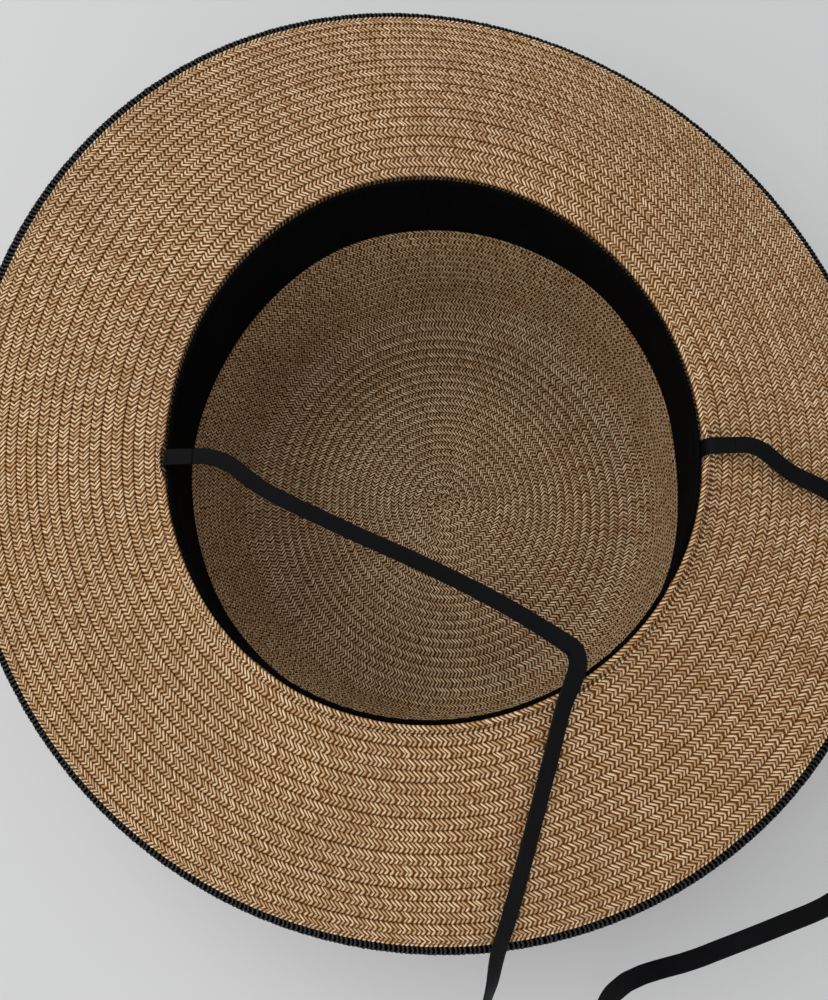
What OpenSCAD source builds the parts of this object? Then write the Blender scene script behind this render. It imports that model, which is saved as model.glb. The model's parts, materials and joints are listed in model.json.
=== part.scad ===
// Sun hat of sewn paper-straw braid, lying crown-down with its head opening up.
// Frame: origin on the crown tip's resting plane, below the centre of the head
// opening; +Z points up out of the opening; X runs from ear to ear.
// All lengths are in millimetres and all angles in degrees.

/* [Head opening] */
// Ear-to-ear width of the opening
opening_width = 178; // [160:1:200]
// Front-to-back length of the opening
opening_length = 184; // [164:1:212]
// How much lower the opening's edge lies over the ears than at front and back
opening_saddle = 5; // [0:0.5:8]
// Height difference between the two diagonals of the opening
opening_skew = 3; // [0:0.5:5]

/* [Crown] */
// Height of the crown from its tip to the mean opening plane
crown_depth = 98; // [80:1:120]
// Radius of the rounded corner between crown side and tip
corner_radius = 20; // [12:1:26]
// Ratio of the tip's outline to the opening's outline
tip_ratio = 0.98; // [0.9:0.01:1]
// Sideways shift of the tip from the opening's centre
crown_lean = 3; // [0:0.5:6]
// Outward bulge of the side at mid-height, at every 45 degrees from the right ear
side_bulge = [0.2, 1.4, 0.4, 0.5, 3.9, 5.4, 3.4, 5]; // [0:0.1:6]
// Thickness of the sewn straw
straw_thickness = 1.6; // [1.2:0.1:2.2]

/* [Brim] */
// Visible width of one braid row
row_pitch = 3.95; // [3:0.05:5]
// Number of natural braid rows across the brim
brim_rows = 18.3; // [14:0.1:21]
// Slope at the opening: right, back, left, front
slope_inner = [-15, 16, 4, -27]; // [-30:1:30]
// Slope at mid-width: right, back, left, front
slope_middle = [-20, -8, -3, -22]; // [-30:1:30]
// Slope at the rim: right, back, left, front
slope_rim = [-16, -10, -3, -24]; // [-30:1:30]
// Extra slope at the rim across the diagonals
slope_twist = -7; // [-10:1:10]

/* [Crown lip] */
// Width of the crown's last row where it turns out over the brim
lip_width = 2.4; // [2.2:0.1:3]
// Thickness of that row
lip_thickness = 0.9; // [0.7:0.1:1.2]

/* [Rim] */
// Width of black braid that shows beyond the last natural row
rim_show = 3; // [2:0.1:4]
// Width of black braid sewn under the last natural row
rim_lap = 3.4; // [3:0.1:4]
// Thickness of the black braid
rim_thickness = 1.2; // [0.8:0.1:1.6]
// Diameter of the brim wire
wire_diameter = 0.9; // [0.6:0.1:1.2]

/* [Sweatband] */
// Height of the sweatband
band_height = 30; // [25:1:40]
// Thickness of the sweatband
band_thickness = 1; // [0.8:0.1:1.4]
// Space between sweatband and crown that holds the strap ends
band_gap = 1.2; // [1.1:0.1:1.6]

/* [Chin strap] */
// Width of the flat strap
strap_width = 5.5; // [4:0.5:8]
// Thickness of the strap
strap_thickness = 0.8; // [0.6:0.05:0.8]
// Position of the strap's anchors in front of the ear line
anchor_front = 5.5; // [0:0.5:12]
// Length of strap sewn in behind the sweatband
end_length = 14; // [12:1:26]
// Length of strap that twists at each anchor when the strap swings
root_length = 10; // [9:1:12]

/* [Thread] */
// Diameter of the sewing thread
thread_diameter = 0.4; // [0.3:0.05:0.5]
// Distance from one stitch to the next
stitch_pitch = 5; // [4:0.5:8]

/* [Hidden] */

straw_colour = [0.76, 0.61, 0.42];
black_colour = [0.06, 0.06, 0.07];
thread_colour = [0.66, 0.50, 0.32];

segments = 72;              // sections round the hat
clearance = 0.05;           // gap between pieces that lie on each other
half_width = opening_width / 2;
half_length = opening_length / 2;
natural_width = row_pitch * brim_rows;
brim_width = natural_width + rim_show;
wall_steps = 5;             // rings up the crown's side
corner_steps = 6;           // rings round the crown's corner
tip_steps = 3;              // rings across the crown's tip
brim_steps = 11;            // rings across the brim
slope_steps = 16;           // steps used to add up the brim's slope
thread_radius = thread_diameter / 2;
stitch_fill = 0.6;          // share of the stitch pitch that is thread
opening_girth = PI * (half_width + half_length);
stitches_round = round(opening_girth / stitch_pitch);
rim_stitches = round((opening_girth + 2 * PI * natural_width) / stitch_pitch);

// ---- Vectors and blends -------------------------------------------------

function unit(v) = v / norm(v);
function mix(a, b, t) = a + (b - a) * t;
function total(v, i = 0) = i < len(v) ? v[i] + total(v, i + 1) : 0;

// Periodic blend through four values held at 0, 90, 180 and 270 degrees
function around(a, v) =
    (v[0] + v[1] + v[2] + v[3]) / 4
    + (v[0] - v[2]) / 2 * cos(a)
    + (v[1] - v[3]) / 2 * sin(a)
    + (v[0] + v[2] - v[1] - v[3]) / 4 * cos(2 * a);

// Periodic blend through any number of values held at equal angles
function around_all(a, v) =
    let (
        place = a / 360 * len(v),
        i = floor(place),
        t = (1 - cos(180 * (place - i))) / 2
    )
    mix(v[(i + len(v)) % len(v)], v[(i + 1 + len(v)) % len(v)], t);

// ---- Shape of the hat ---------------------------------------------------

// Height of the opening's edge
function opening_z(a) = crown_depth - opening_saddle * cos(2 * a) - opening_skew * sin(2 * a);

// Outward direction of the oval outline
function outward(a) = unit([cos(a) / half_width, sin(a) / half_length]);

// Point at a given offset from the oval, with the oval scaled and shifted
function oval_point(a, offset, z, ratio = 1, shift = 0) =
    let (n = outward(a))
    [
        shift + ratio * half_width * cos(a) + n[0] * offset,
        ratio * half_length * sin(a) + n[1] * offset,
        z
    ];

// Brim slope at a share u of the brim's width
function brim_slope(a, u) =
    around(a, slope_inner) * (1 - u) * (1 - 2 * u)
    + around(a, slope_middle) * 4 * u * (1 - u)
    + around(a, slope_rim) * u * (2 * u - 1)
    + slope_twist * u * sin(2 * a);

// Outward and upward travel after a distance s along the brim
function brim_travel(a, s) =
    let (slopes = [for (i = [0.5:slope_steps]) brim_slope(a, s * i / slope_steps / brim_width)])
    [
        s * total([for (b = slopes) cos(b)]) / slope_steps,
        s * total([for (b = slopes) sin(b)]) / slope_steps
    ];

// Point a height h above the brim's upper surface
function brim_point(a, s, h = 0) =
    let (
        travel = brim_travel(a, s),
        b = brim_slope(a, s / brim_width)
    )
    oval_point(a, travel[0] - h * sin(b), opening_z(a) + travel[1] + h * cos(b));

// Share of the side's height at a distance below the opening, and its bulge there
function wall_share(a, drop) = drop / (opening_z(a) - corner_radius);
function wall_bulge(a, t) = around_all(a, side_bulge) * 4 * t * (1 - t);

// Point at an offset inwards (-) or outwards (+) of the crown's inner wall
function wall_point(a, offset, drop) =
    let (t = wall_share(a, drop))
    oval_point(
        a,
        offset + wall_bulge(a, t),
        opening_z(a) - drop,
        mix(1, tip_ratio, t),
        crown_lean * t
    );

// Point on the crown's corner arc of the given radius
function corner_point(a, radius, turn) =
    oval_point(
        a,
        straw_thickness - corner_radius + radius * cos(turn),
        corner_radius - radius * sin(turn),
        tip_ratio,
        crown_lean
    );

// Point on the flat tip, at a share of its radius
function tip_point(a, radius, share) =
    let (edge = corner_point(a, radius, 90))
    [crown_lean + (edge[0] - crown_lean) * share, edge[1] * share, edge[2]];

// ---- Builders -----------------------------------------------------------

function lerp_steps(n) = [for (i = [0:n]) i / n];
function turned(a) = a * 360 / segments;

// Two triangles that join neighbouring points of two sections
function quad(a, b, c, d) = [[a, b, c], [a, c, d]];

// Closed ring whose cross-section is given at each step round the hat
module ring_skin(sections) {
    count = len(sections);
    size = len(sections[0]);
    faces = [
        for (i = [0:count - 1], j = [0:size - 1])
            let (
                here = i * size,
                next = ((i + 1) % count) * size,
                k = (j + 1) % size
            )
            each quad(here + j, here + k, next + k, next + j)
    ];
    polyhedron([for (section = sections) each section], faces, convexity = 8);
}

// Closed cup: each section runs from the first pole to the last pole
module cup_skin(sections, first_pole, last_pole) {
    count = len(sections);
    size = len(sections[0]);
    last = count * size;
    faces = [
        for (i = [0:count - 1])
            let (
                here = i * size,
                next = ((i + 1) % count) * size
            )
            each concat(
                [[last, here, next]],
                [for (j = [0:size - 2]) each quad(here + j, here + j + 1, next + j + 1, next + j)],
                [[here + size - 1, last + 1, next + size - 1]]
            )
    ];
    points = concat([for (section = sections) each section], [first_pole, last_pole]);
    polyhedron(points, faces, convexity = 8);
}

// Closed bar whose cross-section is given at each step of an open path
module bar_skin(sections) {
    count = len(sections);
    size = len(sections[0]);
    sides = [
        for (i = [0:count - 2], j = [0:size - 1])
            let (
                here = i * size,
                next = here + size,
                k = (j + 1) % size
            )
            each quad(here + j, next + j, next + k, here + k)
    ];
    caps = [
        [for (j = [0:size - 1]) j],
        [for (j = [0:size - 1]) count * size - 1 - j]
    ];
    polyhedron([for (section = sections) each section], concat(sides, caps), convexity = 8);
}

// Round thread from one point to another
module thread(from, to) {
    run = to - from;
    length = norm(run);
    tilt = acos(run[2] / length);
    heading = atan2(run[1], run[0]);
    translate(from) rotate([0, tilt, heading]) cylinder(h = length, r = thread_radius, $fn = 24);
}

// ---- Straw --------------------------------------------------------------

// Crown: flat tip, rounded corner, upright side and a lip turned out over the brim
function crown_section(a) = concat(
    [for (t = [1:tip_steps]) tip_point(a, corner_radius, t / tip_steps)],
    [for (t = lerp_steps(corner_steps), turn = 90 * (1 - t)) if (t > 0) corner_point(a, corner_radius, turn)],
    [
        for (t = lerp_steps(wall_steps))
            if (t > 0 && t < 1)
                wall_point(a, straw_thickness, (1 - t) * (opening_z(a) - corner_radius))
    ],
    [brim_point(a, straw_thickness, clearance)],
    [brim_point(a, lip_width, clearance)],
    [brim_point(a, lip_width, lip_thickness)],
    [brim_point(a, lip_thickness / 2, lip_thickness)],
    [
        for (t = lerp_steps(wall_steps))
            wall_point(a, 0, t * (opening_z(a) - corner_radius))
    ],
    [
        for (t = lerp_steps(corner_steps), turn = 90 * t)
            if (t > 0)
                corner_point(a, corner_radius - straw_thickness, turn)
    ],
    [
        for (t = [1:tip_steps - 1])
            tip_point(a, corner_radius - straw_thickness, 1 - t / tip_steps)
    ]
);

module crown() {
    color(straw_colour)
        cup_skin(
            [for (i = [0:segments - 1]) crown_section(turned(i))],
            [crown_lean, 0, 0],
            [crown_lean, 0, straw_thickness]
        );
}

// Brim: starts just outside the crown's side, under the lip, at every height
function brim_start(a, h) =
    let (
        b = brim_slope(a, 0),
        side = straw_thickness + wall_bulge(a, wall_share(a, straw_thickness / 2 - 2 * h))
    )
    (side + 3 * clearance + max(0, h * sin(b))) / cos(b);

function brim_rings(a, h) = [
    for (t = lerp_steps(brim_steps)) brim_point(a, mix(brim_start(a, h), natural_width, t), h)
];
function reversed(v) = [for (i = [len(v) - 1:-1:0]) v[i]];

module brim() {
    color(straw_colour)
        ring_skin([
            for (i = [0:segments - 1])
                concat(
                    brim_rings(turned(i), -straw_thickness),
                    reversed(brim_rings(turned(i), 0))
                )
        ]);
}

// ---- Rim ----------------------------------------------------------------

// The black braid lies under the last natural row and rises to its level outside it
rim_drop = straw_thickness + wire_diameter + 2 * clearance;
function rim_section(a) = [
    brim_point(a, natural_width - rim_lap, -rim_drop),
    brim_point(a, natural_width - rim_lap, -rim_drop - rim_thickness),
    brim_point(a, natural_width + rim_show / 2, -rim_drop - rim_thickness),
    brim_point(a, brim_width, -rim_drop),
    brim_point(a, brim_width, -straw_thickness),
    brim_point(a, natural_width + rim_show / 2, -straw_thickness / 2),
    brim_point(a, natural_width + 3 * clearance, -straw_thickness / 2),
    brim_point(a, natural_width + 3 * clearance, -rim_drop)
];

module rim_braid() {
    color(black_colour)
        ring_skin([for (i = [0:segments - 1]) rim_section(turned(i))]);
}

// Wire ring held between the last natural row and the black braid
seam_inset = 1.2;           // distance of wire and rim stitches inside the natural edge
wire_place = natural_width - seam_inset;
wire_sides = 8;
function wire_section(a) = [
    for (j = [0:wire_sides - 1])
        let (turn = j * 360 / wire_sides)
        brim_point(
            a,
            wire_place + wire_diameter / 2 * cos(turn),
            -straw_thickness - clearance - wire_diameter / 2 * (1 - sin(turn))
        )
];

module brim_wire() {
    color("silver")
        ring_skin([for (i = [0:segments - 1]) wire_section(turned(i))]);
}

// ---- Sweatband ----------------------------------------------------------

band_steps = 6;
band_inner = -band_gap - band_thickness;
function band_side(a, offset) = [
    for (t = lerp_steps(band_steps)) wall_point(a, offset, mix(-lip_thickness, band_height, t))
];

module sweatband() {
    color(black_colour)
        ring_skin([
            for (i = [0:segments - 1])
                concat(
                    band_side(turned(i), band_inner),
                    reversed(band_side(turned(i), -band_gap))
                )
        ]);
}

// Line of stitches just below the sweatband's upper edge
band_stitch_drop = 2.2;
thread_lift = thread_radius + 4 * clearance;
function band_stitch_point(a) = wall_point(a, band_inner - thread_lift, band_stitch_drop);

module sweatband_stitching() {
    step = 360 / stitches_round;
    color(black_colour)
        for (i = [0:stitches_round - 1])
            thread(band_stitch_point(i * step), band_stitch_point((i + stitch_fill) * step));
}

// Upright stitches that close the sweatband at the back
seam_stitches = 6;
seam_angle = 90;

module sweatband_seam() {
    step = (band_height - 3 * band_stitch_drop) / seam_stitches;
    color(black_colour)
        for (i = [0:seam_stitches - 1]) {
            drop = 2 * band_stitch_drop + i * step;
            thread(
                wall_point(seam_angle, band_inner - thread_lift, drop + stitch_fill * step),
                wall_point(seam_angle, band_inner - thread_lift, drop)
            );
        }
}

// ---- Seams of the straw -------------------------------------------------

headline_place = (lip_width + lip_thickness / 2) / 2;
rim_stitch_place = natural_width - seam_inset;

module headline_stitching() {
    step = 360 / stitches_round;
    height = lip_thickness + thread_lift;
    color(thread_colour)
        for (i = [0:stitches_round - 1])
            if (!beside_anchor(i * step))
                thread(
                    brim_point(i * step, headline_place, height),
                    brim_point((i + stitch_fill) * step, headline_place, height)
                );
}

module rim_stitching() {
    step = 360 / rim_stitches;
    color(thread_colour)
        for (i = [0:rim_stitches - 1])
            thread(
                brim_point(i * step, rim_stitch_place, thread_lift),
                brim_point((i + stitch_fill) * step, rim_stitch_place, thread_lift)
            );
}

// ---- Chin strap ---------------------------------------------------------

// The strap swings about the line through its two anchors
right_anchor = -asin(anchor_front / half_length);
left_anchor = 180 - right_anchor;
pivot_lift = 1.6;           // height of that line above the opening's edge
pivot_z = max(opening_z(right_anchor), opening_z(left_anchor)) + pivot_lift;

// True for stitches that would lie under the right-hand strap end
half_stitch = 180 / stitches_round;
function beside_anchor(a) =
    abs(half_length * sin(a + half_stitch) + anchor_front) < strap_width && cos(a) > 0;

// Sewn leg in the gap behind the sweatband, and the arm that leaves the opening
function anchor_point(angle) = wall_point(angle, -band_gap / 2, 0);

module strap_end(angle) {
    top = anchor_point(angle);
    foot = wall_point(angle, -band_gap / 2, end_length);
    n = outward(angle);
    lean = asin(((top[0] - foot[0]) * n[0] + (top[1] - foot[1]) * n[1]) / end_length);
    rise = pivot_z - top[2];
    color(black_colour) {
        translate(top) rotate([0, lean, atan2(n[1], n[0])])
            translate([-strap_thickness / 2, -strap_width / 2, -end_length])
                cube([strap_thickness, strap_width, end_length + rise]);
        translate([
            top[0] - strap_thickness / 2,
            -anchor_front - strap_width / 2,
            pivot_z - strap_thickness / 2
        ])
            cube([root_length + strap_thickness / 2, strap_width, strap_thickness]);
    }
}

module strap_end_left() {
    strap_end(left_anchor);
}

module strap_end_right() {
    strap_end(right_anchor);
}

// Bar tack: a short row of stitches across the strap end, on the sweatband's face
tack_stitches = 5;
tack_drop = 6;

module strap_tack(angle) {
    step = strap_width / tack_stitches;
    reach = atan2(strap_width / 2, half_width);
    color(black_colour)
        for (i = [0:tack_stitches - 1])
            thread(
                wall_point(angle - reach, band_inner - thread_lift, tack_drop + i * step),
                wall_point(angle + reach, band_inner - thread_lift, tack_drop + i * step)
            );
}

module strap_tack_left() {
    strap_tack(left_anchor);
}

module strap_tack_right() {
    strap_tack(right_anchor);
}

// Knots of the strap's path: azimuth, distance out from the opening's edge,
// height above the brim or the opening, and roll of the tape
strap_route = [
    [-174.4, -20.5, 2.1, -12],
    [-165.2, -31.2, 1.6, -24],
    [-141.5, -47.8, -1.1, -30],
    [-89, -48.5, -9.7, -30],
    [-66.5, -32, -7.3, -30],
    [-59.7, -18.2, -2.6, -28],
    [-58.1, -12.8, 0.1, -20],
    [-57.2, -8.4, 2.2, -8],
    [-58.3, -4.9, 3, 6],
    [-61.2, -1.2, 3.5, 20],
    [-63.4, 1.7, 3.6, 28],
    [-69.5, 15.9, 3, 30],
    [-76.4, 39.7, 2.8, 30],
    [-81.1, 63.2, 2.8, 30],
    [-82.9, 73.9, 3.2, 34],
    [-83.8, 82.1, 0.2, 48],
    [-84.8, 92.6, -7.8, 66],
    [-84.4, 105, -13, 90],
    [-80, 112, -16, 115],
    [-75.5, 107, -16.5, 150],
    [-72.3, 96.6, -14.5, 190],
    [-62.8, 97.9, -16.7, 205],
    [-54.6, 102.5, -14.6, 205],
    [-49.9, 106.3, -12.4, 205],
    [-36.5, 109, -8, 207],
    [-25.5, 107, -2, 212],
    [-17, 89, 6, 212],
    [-12, 66, 7, 205],
    [-8, 44.5, 5, 198],
    [-6.4, 30, 5.2, 186]
];
span_steps = 5;             // sections from one knot to the next
lead = [3.5, 0, 0];         // straight piece of strap on the pivot line
half_twist = 180;           // roll of the strap from its left end to its right end
strap_gap = [root_length + 4 * clearance, 0, 0];

function strap_tip(angle) = [anchor_point(angle)[0], -anchor_front, pivot_z] + strap_gap;

function knot_point(k) =
    let (
        on_brim = min(k[1], brim_width),
        beyond = (k[1] - on_brim) * outward(k[0]),
        base = k[1] < 0 ? oval_point(k[0], k[1], opening_z(k[0])) : brim_point(k[0], on_brim)
    )
    base + [beyond[0], beyond[1], k[2]];

// Knots with the roll as a fourth value, and one extra knot at each end
strap_knots = concat(
    [for (i = [-1:1]) [each (strap_tip(left_anchor) + i * lead), 0]],
    [for (k = strap_route) [each knot_point(k), k[3]]],
    [for (i = [1:-1:-1]) [each (strap_tip(right_anchor) + i * lead), half_twist]]
);

// Tangent at a knot, from the knots before and after it and the length of the span
function tangent(before, knot, after, span) =
    let (
        d = norm(place(knot - before)),
        e = norm(place(after - knot))
    )
    ((knot - before) * e / d + (after - knot) * d / e) / (d + e) * span;

// Smooth curve through q and r, with p and s as the knots on either side
function spline(p, q, r, s, t) =
    let (
        span = norm(place(r - q)),
        leave = tangent(p, q, r, span),
        arrive = tangent(q, r, s, span)
    )
    q * (1 - t) * (1 - t) * (1 + 2 * t)
    + r * t * t * (3 - 2 * t)
    + leave * t * (1 - t) * (1 - t)
    - arrive * t * t * (1 - t);

strap_path = concat(
    [
        for (i = [1:len(strap_knots) - 3], j = [0:span_steps - 1])
            spline(
                strap_knots[i - 1],
                strap_knots[i],
                strap_knots[i + 1],
                strap_knots[i + 2],
                j / span_steps
            )
    ],
    [strap_knots[len(strap_knots) - 2]]
);

function place(k) = [k[0], k[1], k[2]];

// Rectangular section of the tape, rolled about its path
function strap_section(i) =
    let (
        last = len(strap_path) - 1,
        ahead = unit(place(strap_path[min(i + 1, last)]) - place(strap_path[max(i - 1, 0)])),
        side = unit(cross(ahead, [0, 0, 1])),
        up = cross(side, ahead),
        roll = strap_path[i][3],
        across = (side * cos(roll) + up * sin(roll)) * strap_width / 2,
        through = cross(ahead, across) * strap_thickness / strap_width,
        middle = place(strap_path[i])
    )
    [middle - across - through, middle + across - through, middle + across + through, middle - across + through];

module chin_strap() {
    color(black_colour)
        bar_skin([for (i = [0:len(strap_path) - 1]) strap_section(i)]);
}

crown();
brim();
rim_braid();
brim_wire();
sweatband();
sweatband_stitching();
sweatband_seam();
headline_stitching();
rim_stitching();
strap_end_left();
strap_end_right();
strap_tack_left();
strap_tack_right();
chin_strap();
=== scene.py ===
"""Looks of a sewn straw sun hat that lies crown-down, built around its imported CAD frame.

Every braid row is a strip of real chevron strands laid on a smooth sheet that is taken from the
CAD crown and brim. Lengths in this script are in millimetres until a mesh is made.
"""
import json
import math

import bpy
import numpy as np
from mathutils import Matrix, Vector
from mathutils.bvhtree import BVHTree


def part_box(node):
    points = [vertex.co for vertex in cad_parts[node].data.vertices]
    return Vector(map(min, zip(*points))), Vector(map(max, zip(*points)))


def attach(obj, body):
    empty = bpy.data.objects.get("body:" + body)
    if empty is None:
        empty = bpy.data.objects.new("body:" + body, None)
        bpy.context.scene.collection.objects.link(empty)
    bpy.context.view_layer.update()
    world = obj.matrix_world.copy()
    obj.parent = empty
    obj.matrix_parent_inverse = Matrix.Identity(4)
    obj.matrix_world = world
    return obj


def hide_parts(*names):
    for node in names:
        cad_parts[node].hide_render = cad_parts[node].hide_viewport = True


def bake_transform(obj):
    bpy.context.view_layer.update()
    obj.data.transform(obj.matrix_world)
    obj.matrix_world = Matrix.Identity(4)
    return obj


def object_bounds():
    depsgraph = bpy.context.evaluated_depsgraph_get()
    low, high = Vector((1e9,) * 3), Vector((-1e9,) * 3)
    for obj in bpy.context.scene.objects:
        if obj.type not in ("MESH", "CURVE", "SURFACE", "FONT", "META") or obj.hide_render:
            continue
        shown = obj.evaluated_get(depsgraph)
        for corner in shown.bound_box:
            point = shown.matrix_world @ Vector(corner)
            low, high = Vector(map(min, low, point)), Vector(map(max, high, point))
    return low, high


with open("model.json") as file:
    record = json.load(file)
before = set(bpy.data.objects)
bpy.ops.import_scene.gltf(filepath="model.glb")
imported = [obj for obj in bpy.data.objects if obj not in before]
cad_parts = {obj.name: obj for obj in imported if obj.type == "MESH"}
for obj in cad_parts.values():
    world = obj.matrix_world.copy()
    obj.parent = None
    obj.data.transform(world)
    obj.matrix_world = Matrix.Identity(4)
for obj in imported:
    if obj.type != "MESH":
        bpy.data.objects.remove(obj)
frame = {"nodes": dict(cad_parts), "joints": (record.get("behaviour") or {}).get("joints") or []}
bounds_at_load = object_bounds()

MM = 0.001
FULL_TURN = 2 * math.pi
random = np.random.default_rng(7)

# ---- Sizes taken from the frame -----------------------------------------


def box_mm(node):
    """Lowest and highest corner of a CAD node, in millimetres."""
    low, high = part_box(node)
    return np.array(low) / MM, np.array(high) / MM


BAND_GAP = 1.2              # space between sweatband and crown
BAND_THICKNESS = 1.0
RIM_SHOW = 3.0              # black braid beyond the last natural row
RIM_LAP = 3.4               # black braid under the last natural row
TIP_PITCH = 3.3             # visible width of the crown's first rows
SIDE_PITCH = 4.0            # visible width of its rows from the tip's edge upwards
STRAND_PITCH = 1.5          # distance from one strand to the next along a row
COLUMNS = 3                 # mesh columns per strand
STITCH_PITCH = 5.0          # distance from one stitch to the next

band_low, band_high = box_mm("sweatband")
HALF_WIDTH = (band_high[0] - band_low[0]) / 2 + BAND_GAP
HALF_LENGTH = (band_high[1] - band_low[1]) / 2 + BAND_GAP
TIP_LEAN = 3.0              # sideways shift of the tip's centre
STRAP_WIDTH = 5.5
STRAP_THICKNESS = 0.8

# Middle of the line that the strap swings about, which runs along X
PIVOT = np.array(frame["joints"][0]["pos_m"]) / MM

# ---- Sheets: smooth surfaces round the hat ------------------------------

ANGLES = 144                # grid lines round the hat
HARMONICS = 8               # finest wave kept round the hat
TURNS = np.arange(ANGLES) * FULL_TURN / ANGLES
BRIM_REACH = 80.0           # farther from the opening than the brim's edge
BRIM_WAVES = (1, 2, 3)      # waves round the hat in the brim's height
BRIM_POWERS = 5             # powers of the distance in the brim's height
SKY = 400.0                 # height that rays start from, above the hat
WAIST = 24.0                # height inside the crown that rays spread from


def ray_tree(node):
    """Ray-casting tree of a CAD node, in millimetres."""
    mesh = frame["nodes"][node].data
    points = [v.co / MM for v in mesh.vertices]
    return BVHTree.FromPolygons(points, [p.vertices[:] for p in mesh.polygons])


def smooth_round(values):
    """Removes the CAD facets: keeps only slow waves along the first, periodic axis."""
    waves = np.fft.rfft(values, axis=0)
    waves[HARMONICS + 1:] = 0
    return np.fft.irfft(waves, n=len(values), axis=0)


def outline(turn, offset):
    """Plan point at an offset from the oval of the head opening."""
    normal = np.stack([np.cos(turn) / HALF_WIDTH, np.sin(turn) / HALF_LENGTH], -1)
    normal /= np.linalg.norm(normal, axis=-1, keepdims=True)
    edge = np.stack([HALF_WIDTH * np.cos(turn), HALF_LENGTH * np.sin(turn)], -1)
    return edge + normal * np.asarray(offset)[..., None]


class Sheet:
    """A surface that goes once round the hat, with a share from its inner to its outer edge."""

    def __init__(self, points):
        self.points = points
        along = np.gradient(points, axis=1)
        ahead = np.roll(points, -1, axis=0) - np.roll(points, 1, axis=0)
        normals = np.cross(along, ahead)
        normals[:, 0] = normals[:, 1]
        self.normals = normals / np.linalg.norm(normals, axis=-1, keepdims=True)
        steps = np.linalg.norm(np.diff(points, axis=1), axis=-1)
        self.length = float(steps.sum(axis=1).mean())

    def at(self, turn, share, height):
        """Points at a height above the sheet."""
        turn, share, height = np.broadcast_arrays(turn, share, height)
        count, size = self.points.shape[:2]
        column = (turn / FULL_TURN * count) % count
        left = np.floor(column).astype(int) % count
        right = (left + 1) % count
        sideways = (column - np.floor(column))[..., None]
        place = share * (size - 1)
        low = np.clip(np.floor(place).astype(int), 0, size - 2)
        onward = (place - low)[..., None]

        def blend(grid):
            near = grid[left, low] * (1 - sideways) + grid[right, low] * sideways
            far = grid[left, low + 1] * (1 - sideways) + grid[right, low + 1] * sideways
            return near * (1 - onward) + far * onward

        normal = blend(self.normals)
        normal /= np.linalg.norm(normal, axis=-1, keepdims=True)
        return blend(self.points) + normal * height[..., None]

    def girth(self, share):
        """Distance once round the sheet."""
        turn = np.linspace(0, FULL_TURN, ANGLES + 1)
        ring = self.at(turn, share, 0)
        return float(np.linalg.norm(np.diff(ring, axis=0), axis=1).sum())


def even_steps(points, count, length=None):
    """The same curve with its points spread evenly by distance, cut at a given length."""
    steps = np.linalg.norm(np.diff(points, axis=0), axis=1)
    travel = np.concatenate([[0], np.cumsum(steps)])
    wanted = np.linspace(0, travel[-1] if length is None else length, count)
    return np.stack([np.interp(wanted, travel, points[:, k]) for k in range(3)], -1)


def brim_sheet():
    """Smooth upper surface of the brim, with its natural width."""
    tree = ray_tree("brim")
    reach = np.arange(2.5, BRIM_REACH, 1.0)
    rows, heights = [], []
    edge = np.zeros(ANGLES)
    for i, turn in enumerate(TURNS):
        for r in reach:
            x, y = outline(turn, r)
            hit = tree.ray_cast(Vector((x, y, SKY)), Vector((0, 0, -1)))[0]
            if hit is not None:
                rows.append((turn, r))
                heights.append(hit.z)
                edge[i] = r
    rows = np.array(rows)

    def terms(turn, r):
        waves = [np.ones_like(turn)]
        for k in BRIM_WAVES:
            waves += [np.cos(k * turn), np.sin(k * turn)]
        powers = range(BRIM_POWERS)
        return np.stack([w * (r / BRIM_REACH) ** p for w in waves for p in powers], -1)

    weights = np.linalg.lstsq(terms(rows[:, 0], rows[:, 1]), np.array(heights), rcond=None)[0]
    fine = np.linspace(0, 90, 181)
    curves, travel_to_edge = [], []
    for turn, last in zip(TURNS, edge):
        plan = outline(np.full_like(fine, turn), fine)
        height = terms(np.full_like(fine, turn), fine) @ weights
        curve = np.column_stack([plan, height])
        travel = np.cumsum(np.linalg.norm(np.diff(curve, axis=0), axis=1))
        travel_to_edge.append(np.interp(last + 0.5, fine[1:], travel))
        curves.append(curve)
    natural = float(np.mean(travel_to_edge))
    width = natural + RIM_SHOW + 1
    points = np.array([even_steps(curve, 60, width) for curve in curves])
    return Sheet(smooth_round(points)), natural


def crown_sheet(opening):
    """Smooth inner surface of the crown, from the tip's centre to the opening."""
    tree = ray_tree("crown")
    centre = np.array([TIP_LEAN, 0.0])
    curves = []
    for turn, top in zip(TURNS, opening):
        way = outline(turn, 0.0) - centre
        way /= np.linalg.norm(way)
        points = []
        for tilt in np.radians(np.linspace(-90, 0, 70)):
            ray = Vector((way[0] * math.cos(tilt), way[1] * math.cos(tilt), math.sin(tilt)))
            points.append(tree.ray_cast(Vector((*centre, WAIST)), ray)[0])
        for height in np.linspace(WAIST + 2, top[2] - 3, 24):
            points.append(tree.ray_cast(Vector((*centre, height)), Vector((*way, 0)))[0])
        points.append(Vector(top))
        curves.append(even_steps(np.array(points), 170))
    points = np.array(curves)
    kernel = np.array([1, 2, 3, 2, 1]) / 9
    softened = points.copy()
    for k in range(3):
        for i in range(ANGLES):
            softened[i, 2:-2, k] = np.convolve(points[i, :, k], kernel, "valid")
    return Sheet(smooth_round(softened))


brim, NATURAL_WIDTH = brim_sheet()
crown = crown_sheet(brim.points[:, 0])


def brim_share(distance):
    """Share of the brim sheet at a distance from the opening."""
    return distance / brim.length


def crown_share(drop):
    """Share of the crown sheet at a distance below the opening."""
    return 1 - drop / crown.length


# ---- Meshes -------------------------------------------------------------

CAP_WEAVE = 0.3             # weave coordinate of a tube's closed ends


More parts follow.
